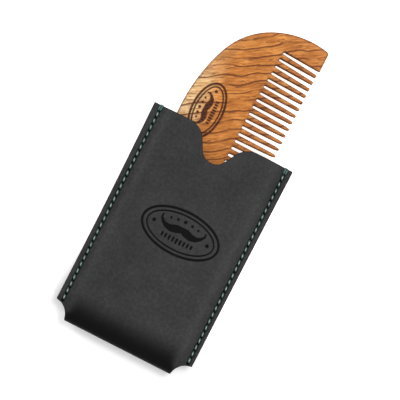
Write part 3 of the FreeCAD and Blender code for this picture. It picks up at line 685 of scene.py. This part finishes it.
        across, along = parts(column, row)
        if across > 1 or along > 1:
            for i in range(across):
                left, right = column + i / across, column + (i + 1) / across
                for j in range(along):
                    above, below = row + j / along, row + (j + 1) / along
                    self.ring([(left, above), (right, above), (right, below), (left, below)], layer, face)
            return
        top, bottom = parts(column, row - 1)[0], parts(column, row + 1)[0]
        left, right = parts(column - 1, row)[1], parts(column + 1, row)[1]
        ring = [(column + k / top, row) for k in range(top)]
        ring += [(column + 1, row + k / right) for k in range(right)]
        ring += [(column + 1 - k / bottom, row + 1) for k in range(bottom)]
        ring += [(column, row + 1 - k / left) for k in range(left)]
        self.ring(ring, layer, face)

    def ring(self, places, layer, face):
        ids = [self.vertex(c, r, layer, face) for c, r in places]
        ids = [a for a, b in zip(ids, ids[1:] + ids[:1]) if a != b]
        if (layer == 1) == (face == 1):
            ids.reverse()
        if len(ids) > 2:
            self.faces.append(ids)

    def edge_route(self):
        """The strip's outline as (column, row, face): mouth, side, cut, back's side, back's mouth."""
        last_column, last_row = len(self.columns) - 1, self.last_row
        right = min(c for c, x in enumerate(self.columns) if x > CUT_START - 1e-3)
        left = last_column - right
        route = [(c, 0, 1) for c in range(last_column)]
        route += [(last_column, r, 1) for r in range(last_row)]
        route += [(c, last_row, 1) for c in range(last_column, right, -1)]
        route += [(c, last_row, -1) for c in range(right, last_column)]
        route += [(last_column, r, -1) for r in range(last_row, 0, -1)]
        route += [(c, 0, -1) for c in range(last_column, 0, -1)]
        route += [(0, r, -1) for r in range(last_row)]
        route += [(c, last_row, -1) for c in range(left)]
        route += [(c, last_row, 1) for c in range(left, 0, -1)]
        route += [(0, r, 1) for r in range(last_row, 0, -1)]
        return route

    def edge_strip(self, outside, inside, k):
        """The vertices across the cut edge at place k of its route, from the outside to the inside."""
        out, into = Vector(self.points[outside[k]]), Vector(self.points[inside[k]])
        before, after = outside[k - 1], outside[(k + 1) % len(outside)]
        run = Vector(self.points[after]) - Vector(self.points[before])
        down = (into - out).normalized()
        away = run.cross(down).normalized() * (EDGE + 0.035 * noise.noise(out * 0.4))
        spots = [out + away * reach + down * EDGE * depth for reach, depth in EDGE_PROFILE]
        spots += [into + away * reach - down * EDGE * depth for reach, depth in reversed(EDGE_PROFILE)]
        # the cut edge takes the outside's painted fold shade
        folded = self.numbers["folded"][outside[k]]
        return [outside[k], *(self.add(tuple(spot), 0.0, folded, 1.0) for spot in spots), inside[k]]

    def cut_edge(self):
        """The cut edge of the strip, rounded and burnished, between the outside and the inside."""
        route = self.edge_route()
        outside = [self.vertex(c, r, 1, f) for c, r, f in route]
        inside = [self.vertex(c, r, 0, f) for c, r, f in route]
        strips = [self.edge_strip(outside, inside, k) for k in range(len(route))]
        for here, there in zip(strips, strips[1:] + strips[:1]):
            for low in range(len(here) - 1):
                self.faces.append([here[low], there[low], there[low + 1], here[low + 1]])

    def build(self, material):
        for layer in (1, 0):
            for face in (1, -1):
                self.skin(layer, face)
        self.cut_edge()
        return new_piece("leather_strip", self.points, self.faces, material, self.numbers)


# ---------------- comb

COMB_LENGTH = 100.1
COMB_WIDTH = 47.5
COMB_HALF = 2.25
TIP_HALF = 1.5
SPINE_RADIUS = 80.0
SPINE_REACH = 29.0
SHOULDER_RADIUS = 31.7
END_RADIUS = 40.7
CORNER = 1.6
OUTER_ROUND = 1.3
SLOTS = 25
SLOT_STEP = math.radians(0.331)
FAN = 560.0
SLOT_DEPTH = 19.4
ROOT_HALF = 0.6
MOUTH_HALF = 0.88
POINT_START = 2.9
POINT_RADIUS = 8.5
TIP_RECESS = 0.52
POINT_FLAT = 0.46
POINT_DEEP = 0.55
COMB_AT = (24.4, 28.35)
BURN_AT = (-11.7, 31.2)
BURN_SCALE = 0.70
BURN_HALF = (7.4, 13.6)
BURN_DEPTH = 0.09
PAST_TIP = 3.0
FLAT_STEP = 1.6
MARK_STEP = 0.2


def arc_points(centre, radius, start, end, step):
    """Points about step apart along an arc, from the start angle to the end angle."""
    count = max(2, int(abs(end - start) * radius / step))
    return [(centre[0] + radius * math.cos(start + (end - start) * k / count),
             centre[1] + radius * math.sin(start + (end - start) * k / count)) for k in range(count + 1)]


def line_points(start, end, step):
    """Points about step apart along a straight line, both ends included."""
    count = max(1, int(math.dist(start, end) / step))
    return [(start[0] + (end[0] - start[0]) * k / count, start[1] + (end[1] - start[1]) * k / count)
            for k in range(count + 1)]


def back_outline():
    """From the upper tip corner round the end and the spine to its middle, tips at x = 0."""
    turn = math.asin(SPINE_REACH / SPINE_RADIUS)
    first = (-COMB_WIDTH + SPINE_RADIUS, 0.0)
    gap = SPINE_RADIUS - SHOULDER_RADIUS
    second = (first[0] - gap * math.cos(turn), gap * math.sin(turn))
    end_height = COMB_LENGTH / 2 - END_RADIUS
    growth = END_RADIUS - SHOULDER_RADIUS
    end_turn = math.asin((second[1] - end_height) / growth)
    third = (second[0] + growth * math.cos(end_turn), end_height)
    corner = (-CORNER, third[1] + math.sqrt((END_RADIUS - CORNER) ** 2 - (third[0] + CORNER) ** 2))
    leave = math.atan2(corner[1] - third[1], corner[0] - third[0])
    points = arc_points(corner, CORNER, 0.0, leave, 0.25)
    points += arc_points(third, END_RADIUS, leave, math.pi - end_turn, 0.9)[1:]
    points += arc_points(second, SHOULDER_RADIUS, math.pi - end_turn, math.pi - turn, 0.9)[1:]
    points += arc_points(first, SPINE_RADIUS, math.pi - turn, math.pi, 0.9)[1:]
    return points


def slot_points(number):
    """One slot's wall, from its mouth on the +y side round the root to the -y side."""
    root = -FAN - SLOT_DEPTH + ROOT_HALF
    start, tip = -FAN - POINT_START, -FAN - TIP_RECESS
    wide = MOUTH_HALF + POINT_RADIUS - math.sqrt(POINT_RADIUS ** 2 - (POINT_START - TIP_RECESS) ** 2)
    flare = math.asin((POINT_START - TIP_RECESS) / POINT_RADIUS)
    centre = (start, MOUTH_HALF + POINT_RADIUS)
    upper = [(tip, wide)]
    upper += arc_points(centre, POINT_RADIUS, -math.pi / 2 + flare, -math.pi / 2, 0.4)[1:]
    upper += line_points((start, MOUTH_HALF), (root, ROOT_HALF), 1.1)[1:]
    upper += arc_points((root, 0.0), ROOT_HALF, math.pi / 2, math.pi, 0.16)[1:]
    whole = upper + [(x, -y) for x, y in reversed(upper[:-1])]
    whole = [(-FAN + PAST_TIP, wide)] + whole + [(-FAN + PAST_TIP, -wide)]
    angle = -(number - (SLOTS - 1) / 2) * SLOT_STEP
    turned = [(FAN + x * math.cos(angle) - y * math.sin(angle), x * math.sin(angle) + y * math.cos(angle))
              for x, y in whole]
    half = len(turned) // 2
    upper = tooth_side(turned[:half][::-1], 1, number == SLOTS - 1)
    return upper[::-1] + tooth_side(turned[half:], -1, number == 0)


def tooth_side(points, up, wide):
    """One side of a slot, from its root out to the tip of the tooth there. Only thin teeth are set
    back and have their points rounded."""
    if wide:
        return cut_off(points, 0.0)
    side = cut_off(points, -TIP_RECESS)
    return side[:-1] + point_corner(side[-1], side[-2], up)[::-1]


def point_corner(corner, before, up):
    """Rounds one corner of a thin tooth's point: from its tip round to its side."""
    middle = corner[1] + up * POINT_FLAT / 2
    side = (corner[0] - POINT_DEEP, corner[1] + (before[1] - corner[1]) * POINT_DEEP
            / max(corner[0] - before[0], POINT_DEEP))
    reach = side[1] - middle
    return [(side[0] + POINT_DEEP * math.cos(a), middle + reach * math.sin(a))
            for a in (math.radians(k) for k in (4, 22, 40, 58, 74, 90))]


def cut_off(points, limit):
    """The run of points up to where it crosses x = limit, ending on that line."""
    kept = []
    for before, after in zip(points, points[1:]):
        kept.append(before)
        if after[0] > limit:
            t = (limit - before[0]) / (after[0] - before[0])
            kept.append((limit, before[1] + t * (after[1] - before[1])))
            return kept
    return points


def outer_edge(points):
    return [(x, y, OUTER_ROUND, 0.0) for x, y in points]


def comb_outline():
    """The comb's whole outline as (x, y, rounding, wall), tips at x = 0, counterclockwise.

    wall is 1 on sawn slot walls and 0 on the outside."""
    back = back_outline()
    ring = outer_edge(back + [(x, -y) for x, y in reversed(back[:-1])])
    for number in range(SLOTS):
        points = slot_points(number)[::-1]
        if number == 0:
            ring += outer_edge(line_points(ring[-1][:2], points[0], 0.9)[1:-1])
        for x, y in points:
            near_tip = smooth(-3.4, -0.7, x)
            near_root = smooth(-18.0, -18.9, x)
            ring.append((x, y, 0.42 - 0.24 * near_tip - 0.1 * near_root, 1.0))
    return ring + outer_edge(line_points(ring[-1][:2], ring[0][:2], 0.9)[1:-1])


def eased(values, passes):
    """A closed run of numbers after that many passes of averaging with their neighbours."""
    for _ in range(passes):
        values = [(values[k - 1] + 2 * values[k] + values[(k + 1) % len(values)]) / 4
                  for k in range(len(values))]
    return values


def inward_normals(ring):
    """For each point the way in that keeps both of its sides equally far, limited at sharp corners."""
    normals = []
    for k in range(len(ring)):
        (ax, ay), (bx, by), (cx, cy) = ring[k - 1][:2], ring[k][:2], ring[(k + 1) % len(ring)][:2]
        first = Vector((-(by - ay), bx - ax)).normalized()
        second = Vector((-(cy - by), cx - bx)).normalized()
        both = first + second
        normals.append(both / max(both.length_squared / 2, 0.6))
    return normals


def comb_half_thickness(x):
    """Half the board's thickness at x from the tips' line: full, then thinned along the teeth."""
    return COMB_HALF + (TIP_HALF - COMB_HALF) * clamp((x + SLOT_DEPTH) / SLOT_DEPTH)


def comb_faces(loop, extra):
    """Triangles of the flat face: its outline loop and the loose points inside it."""
    count = len(loop)
    edges = [(k, (k + 1) % count) for k in range(count)]
    spots = [Vector(point) for point in loop + extra]
    made = geometry.delaunay_2d_cdt(spots, edges, [list(range(count))], 1, 1e-5)
    return made[0], made[2], made[3]


def inside_points(loop, step, box, clear):
    """Grid points at that spacing inside the box and the loop, clear of the loop's line."""
    low_x, high_x, low_y, high_y = box
    ys = [low_y + step * k for k in range(int((high_y - low_y) / step) + 1)]
    found = []
    count = len(loop)
    for y in ys:
        crossings = []
        for k in range(count):
            (ax, ay), (bx, by) = loop[k], loop[(k + 1) % count]
            if (ay > y) != (by > y):
                crossings.append(ax + (y - ay) * (bx - ax) / (by - ay))
        crossings.sort()
        for enter, leave in zip(crossings[::2], crossings[1::2]):
            x = max(low_x, enter + clear)
            while x <= min(high_x, leave - clear):
                found.append((x, y))
                x += step
    return found


def edge_char_and_shade(x, wall, normal, turn):
    """How dark the rounded edge is at an angle round it: charred slot walls most, more so at their roots,
    charred outer edges, and painted shade on the flat beside the walls, only on the side of each tooth
    that faces the sheath."""
    root = smooth(-17.0, -19.0, x) * wall
    sawn = wall * (0.93 + 0.07 * root) * smooth(1.57, 0.8, turn)
    # painted shade, on the sheath-facing side of each tooth only
    painted_side_shade = (0.35 + 0.25 * root) * wall * max(0.0, normal.y)
    outside = (1 - wall) * 0.8 * smooth(1.45, 0.6, turn)
    return max(sawn, painted_side_shade, outside)


class Board:
    """Builds the comb as one board: rounded edges, sawn slots, thinned teeth, a charred mark."""

    def __init__(self):
        self.ring = comb_outline()
        self.rounding = eased([point[2] for point in self.ring], 3)
        self.walls = eased([point[3] for point in self.ring], 1)
        self.normals = inward_normals(self.ring)
        self.points, self.faces = [], []
        self.burnt, self.pale = [], []
        self.mark = (BURN_AT[0] - COMB_AT[0], BURN_AT[1] - COMB_AT[1])

    def put(self, x, y, z, burn):
        """Adds a vertex and returns its number. x runs from the tips' line and y from the middle."""
        self.points.append((x + COMB_AT[0], y + COMB_AT[1], z + MIDDLE))
        self.burnt.append(clamp(burn))
        near_spine = smooth(-33.0, -44.0, x)
        self.pale.append(near_spine * (0.3 + 0.7 * smooth(28.0, 10.0, abs(y))))
        return len(self.points) - 1

    def add_face(self, corners, face):
        self.faces.append(corners if face > 0 else corners[::-1])

    def edge_loop(self, face, turn):
        """One line of vertices along the rounded edge, at an angle from the wall to the flat."""
        loop = []
        for (x, y, _, _), radius, wall, normal in zip(self.ring, self.rounding, self.walls, self.normals):
            inset = radius * (1 - math.cos(turn))
            edge_x, edge_y = x + normal.x * inset, y + normal.y * inset
            z = comb_half_thickness(edge_x) - radius * (1 - math.sin(turn))
            loop.append(self.put(edge_x, edge_y, face * z, edge_char_and_shade(x, wall, normal, turn)))
        return loop

    def rounded_edge(self, face):
        """The edge of one face. Returns its first loop, at the wall, and its last, at the flat."""
        loops = [self.edge_loop(face, math.radians(a)) for a in (0, 22, 45, 67, 90)]
        for outer, inner in zip(loops, loops[1:]):
            for k in range(len(self.ring)):
                after = (k + 1) % len(self.ring)
                self.add_face([outer[k], outer[after], inner[after], inner[k]], face)
        return loops[0], loops[-1]

    def loose_points(self, flat, face):
        """Points inside the flat, closer together under the charred mark."""
        whole = (-COMB_WIDTH, 0.0, -COMB_LENGTH / 2, COMB_LENGTH / 2)
        extra = inside_points(flat, FLAT_STEP, whole, 0.5)
        if face < 0:
            return extra
        low_x, high_x = self.mark[0] - BURN_HALF[0], self.mark[0] + BURN_HALF[0]
        low_y, high_y = self.mark[1] - BURN_HALF[1], self.mark[1] + BURN_HALF[1]
        extra = [(x, y) for x, y in extra if not (low_x - 0.4 < x < high_x + 0.4
                                                  and low_y - 0.4 < y < high_y + 0.4)]
        return extra + inside_points(flat, MARK_STEP, (low_x, high_x, low_y, high_y), 0.5)

    def mark_burn(self, x, y):
        """How charred the upper flat is at (x, y): 1 on the mark's lines."""
        if abs(x - self.mark[0]) >= 8.0:
            return 0.0
        far = emblem((y - self.mark[1]) / BURN_SCALE, (self.mark[0] - x) / BURN_SCALE) * BURN_SCALE
        return smooth(0.34, -0.02, far)

    def flat_face(self, face, loop):
        flat = [(self.points[v][0] - COMB_AT[0], self.points[v][1] - COMB_AT[1]) for v in loop]
        spots, triangles, origins = comb_faces(flat, self.loose_points(flat, face))
        ids = []
        for spot, origin in zip(spots, origins):
            known = [v for v in origin if v < len(flat)]
            if known:
                ids.append(loop[known[0]])
                continue
            burn = self.mark_burn(spot.x, spot.y) if face > 0 else 0.0
            z = comb_half_thickness(spot.x) - BURN_DEPTH * burn
            ids.append(self.put(spot.x, spot.y, face * z, 0.97 * burn))
        for triangle in triangles:
            self.add_face([ids[v] for v in triangle], face)

    def build(self, material):
        walls = {}
        for face in (1, -1):
            walls[face], loop = self.rounded_edge(face)
            self.flat_face(face, loop)
        top, bottom = walls[1], walls[-1]
        for k in range(len(self.ring)):
            after = (k + 1) % len(self.ring)
            self.faces.append([bottom[k], bottom[after], top[after], top[k]])
        numbers = {"burnt": self.burnt, "pale": self.pale}
        return new_piece("comb_board", self.points, self.faces, material, numbers)


# ---------------- seam threads

THREAD_SPREAD = 0.24
LOOP_SPREAD = 0.43
THREAD_HEIGHT = 1.62
PLY_RADIUS = 0.215
PLY_OFFSET = 0.2
TWIST = 1.35
JOG = 0.05
STITCH = ((0.07, -1.0), (0.18, -0.4), (0.32, 0.0), (0.5, 0.14), (0.68, 0.0), (0.82, -0.4), (0.93, -1.0))


def thread_route(seam_x, first_up, luck):
    """The line of one strand: over the face between holes, down a hole, along the other face."""
    side = 1 if first_up else -1
    spots = mouth_loop(seam_x + side * LOOP_SPREAD, seam_x, side)
    for gap in range(HOLES - 1):
        start = FIRST_HOLE - gap * PITCH
        jog = luck.uniform(-JOG, JOG)
        for share, lift in STITCH:
            x = seam_x + THREAD_SPREAD * (2 * share - 1) + jog
            spots.append((x, start - share * PITCH, MIDDLE + side * (THREAD_HEIGHT + lift)))
        side = -side
    return spots


def mouth_loop(loop_x, seam_x, side):
    """The stitch that wraps the mouth's edge, from the first hole on one face to the same hole on the
    other. The strand goes on from there on the face given by side."""
    hole, high = FIRST_HOLE, THREAD_HEIGHT
    reach = MOUTH - MOUTH_DENT + 0.45
    path = [(hole, 0.7, 0.0),
            (hole + 0.15, 0.85, 0.3),
            (hole + 0.7, high + 0.05, 1.0),
            (hole + 1.4, high + 0.1, 1.0),
            (reach - 0.5, high - 0.02, 1.0),
            (reach - 0.05, high - 0.5, 1.0),
            (reach + 0.02, 0.0, 1.0)]
    path = [(y, -side * z, pull) for y, z, pull in path]
    path += [(y, -z, pull) for y, z, pull in reversed(path[:-1])]
    return [(seam_x + (loop_x - seam_x) * pull, y, MIDDLE + z) for y, z, pull in path]


def part_way(before, start, end, after, t):
    """The smooth curve from start, at t = 0, to end, at t = 1, given the spots on either side."""
    square = 2 * before - 5 * start + 4 * end - after
    cube = 3 * start - before - 3 * end + after
    return 0.5 * (2 * start + (end - before) * t + square * t ** 2 + cube * t ** 3)


def curve_through(spots, step):
    """Evenly stepped points of a smooth curve through the spots."""
    spots = [Vector(spot) for spot in spots]
    fine = []
    for k in range(len(spots) - 1):
        before, start = spots[max(k - 1, 0)], spots[k]
        end, after = spots[k + 1], spots[min(k + 2, len(spots) - 1)]
        parts = max(2, int((end - start).length / step))
        fine += [part_way(before, start, end, after, part / parts) for part in range(parts)]
    return fine + [spots[-1]]


def frames(line):
    """Each spot of the line with two directions square to the line, carried along without twist."""
    across = Vector((1.0, 0.1, 0.0))
    for k, spot in enumerate(line):
        run = (line[min(k + 1, len(line) - 1)] - line[max(k - 1, 0)]).normalized()
        across = (across - run * across.dot(run)).normalized()
        yield spot, across, run.cross(across)


def add_tube(points, faces, line, radius, sides):
    """A round tube along the line, closed at both ends."""
    rings = []
    for spot, across, other in frames(line):
        ring = []
        for side in range(sides):
            angle = 2 * math.pi * side / sides
            ring.append(len(points))
            points.append(tuple(spot + (across * math.cos(angle) + other * math.sin(angle)) * radius))
        rings.append(ring)
    for here, there in zip(rings, rings[1:]):
        for side in range(sides):
            after = (side + 1) % sides
            faces.append([here[side], here[after], there[after], there[side]])
    faces.append(rings[0][::-1])
    faces.append(rings[-1])


def add_strand(points, faces, line):
    """Three plies twisted round each other along the line."""
    length = 0.0
    last = line[0]
    plies = [[], [], []]
    for spot, across, other in frames(line):
        length += (spot - last).length
        last = spot
        for number, ply in enumerate(plies):
            angle = 2 * math.pi * (number / 3 + length / TWIST)
            ply.append(spot + (across * math.cos(angle) + other * math.sin(angle)) * PLY_OFFSET)
    for ply in plies:
        add_tube(points, faces, ply, PLY_RADIUS, 6)


def make_thread(name, seam_x, material):
    """Both strands of one seam, with two attributes: one is 1 down in the holes, for painted shade, and
    one is 1 on top of each stitch, for a painted highlight.
    """
    luck = random.Random(7 if seam_x < 0 else 11)
    points, faces = [], []
    for first_up in (True, False):
        route = thread_route(seam_x, first_up, luck)
        add_strand(points, faces, curve_through(route, 0.22))
    # painted shade on the strands down in the holes, not near the mouth's edge
    hole_shade = [smooth(1.7, 1.36, abs(z - MIDDLE)) * smooth(MOUTH - 1.6, MOUTH - 2.2, y) for x, y, z in points]
    # painted highlight on top of each stitch, faint on the mouth loops
    stitch_highlight = []
    for x, y, z in points:
        high = smooth(1.86, 2.1, abs(z - MIDDLE))
        middle = smooth(0.55, 1.1, hole_near(y)) * smooth(0.5, 0.15, abs(x - seam_x))
        stitch_highlight.append(high * (0.2 if y > FIRST_HOLE else middle))
    return new_piece(name, points, faces, material, {"hole_shade": hole_shade, "stitch_highlight": stitch_highlight})


# ---------------- the set


FLOOR_HALF = 5200.0
COVE_RADIUS = 5000.0
COVE_TOP = 1300.0
COVE_SIDES = 48
WORLD_STRENGTH = 0.3
CAMERA_AT = (0.0032, -0.0049, 0.577)
CAMERA_TURN = math.radians(27)
LENS = 118.4


def make_floor(material):
    corners = [(x * FLOOR_HALF, y * FLOOR_HALF, 0.0) for x, y in ((-1, -1), (1, -1), (1, 1), (-1, 1))]
    new_piece("floor", corners, [[0, 1, 2, 3]], material)


def make_cove(material):
    """A low white wall far round the floor, so that level views end in white."""
    points, faces = [], []
    for k in range(COVE_SIDES):
        angle = 2 * math.pi * k / COVE_SIDES
        x, y = COVE_RADIUS * math.cos(angle), COVE_RADIUS * math.sin(angle)
        points += [(x, y, -5.0), (x, y, COVE_TOP)]
        after = (k + 1) % COVE_SIDES
        faces.append([2 * after, 2 * k, 2 * k + 1, 2 * after + 1])
    new_piece("cove", points, faces, material)


def area_light(name, place, size, power):
    """A square light at that place, in metres, turned to the middle of the scene."""
    lamp = bpy.data.lights.new(name, "AREA")
    lamp.energy = power
    lamp.size = size
    thing = bpy.data.objects.new(name, lamp)
    thing.location = place
    thing.rotation_euler = (-thing.location).to_track_quat("-Z", "Y").to_euler()
    thing.visible_camera = False
    bpy.context.scene.collection.objects.link(thing)


def light_scene():
    world = bpy.data.worlds.new("studio")
    world.use_nodes = True
    background = world.node_tree.nodes["Background"]
    background.inputs["Color"].default_value = (1.0, 1.0, 1.0, 1.0)
    background.inputs["Strength"].default_value = WORLD_STRENGTH
    bpy.context.scene.world = world
    area_light("key", (0.42, 0.66, 1.1), 0.6, 9.0)
    area_light("side_left", (-0.95, 0.35, 0.42), 0.5, 5.5)
    area_light("side_right", (0.9, -0.55, 0.42), 0.5, 5.0)


def add_camera():
    """Looks straight down, turned so that the sheath lies slanting in the picture."""
    data = bpy.data.cameras.new("camera")
    data.sensor_width = 36.0
    data.lens = LENS
    data.clip_start = 0.01
    data.clip_end = 10.0
    camera = bpy.data.objects.new("camera", data)
    camera.location = CAMERA_AT
    camera.rotation_euler = (0.0, 0.0, CAMERA_TURN)
    bpy.context.scene.collection.objects.link(camera)
    bpy.context.scene.camera = camera


def make_all():
    leather = leather_material()
    wood = wood_material()
    thread = thread_material()
    glue = glue_material()
    on_body(Leather().build(leather), "sheath_body", "sheath_leather")
    on_body(Board().build(wood), "comb_body", "comb")
    on_body(make_thread("thread_left", SEAM_LEFT, thread), "sheath_body", "seam_thread_left")
    on_body(make_thread("thread_right", SEAM_RIGHT, thread), "sheath_body", "seam_thread_right")
    for side in ("left", "right"):
        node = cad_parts["seam_glue_" + side]
        node.data.materials.clear()
        node.data.materials.append(glue)
    paper = floor_material()
    make_floor(paper)
    make_cove(paper)
    light_scene()
    add_camera()
    bpy.context.scene.view_settings.view_transform = "Standard"


make_all()
